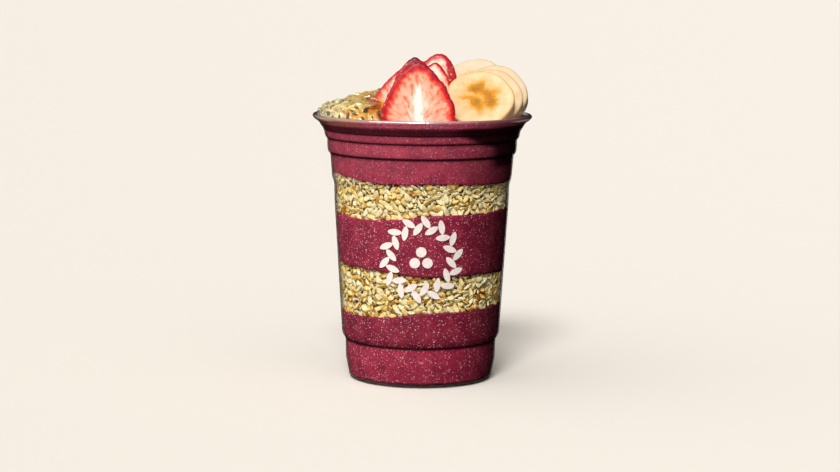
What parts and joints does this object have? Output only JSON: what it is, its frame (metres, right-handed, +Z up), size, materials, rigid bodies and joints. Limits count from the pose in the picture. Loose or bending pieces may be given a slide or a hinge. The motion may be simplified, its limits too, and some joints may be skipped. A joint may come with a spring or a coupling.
{
  "type": "acai bowl",
  "caption": "Clear tapered cup filled with alternating layers of acai and granola, topped with sliced strawberry, sliced banana and passion fruit pulp.",
  "frame": {"origin": "centre of the cup's foot, on the surface it stands on", "axes": "+Z up along the cup's axis, -Y towards the front, where the tall strawberry slice faces"},
  "size_m": [0.098, 0.098, 0.1449],
  "materials": {
    "clear_plastic": "clear thin moulded plastic, glossy",
    "acai": "frozen deep purple-red puree with fine pale frost specks",
    "granola": "dry toasted oat flakes and clusters, golden beige with brown gaps",
    "passion_fruit_pulp": "wet translucent yellow sacs round dark seeds",
    "strawberry": "moist cut flesh, red rim and pale core",
    "banana": "moist cream flesh with a golden-brown seed star"
  },
  "bodies": {
    "root": {"cup": "clear_plastic", "acai_lower": "acai", "granola_lower": "granola", "acai_middle": "acai", "granola_upper": "granola", "acai_top": "acai", "passion_fruit_pulp": "passion_fruit_pulp", "strawberry_slice_front": "strawberry", "strawberry_slice_second": "strawberry", "strawberry_slice_left": "strawberry", "strawberry_slice_inner": "strawberry", "strawberry_slice_outer": "strawberry", "banana_slice_front": "banana", "banana_slice_second": "banana", "banana_slice_third": "banana", "banana_slice_back": "banana"}
  },
  "joints": []
}
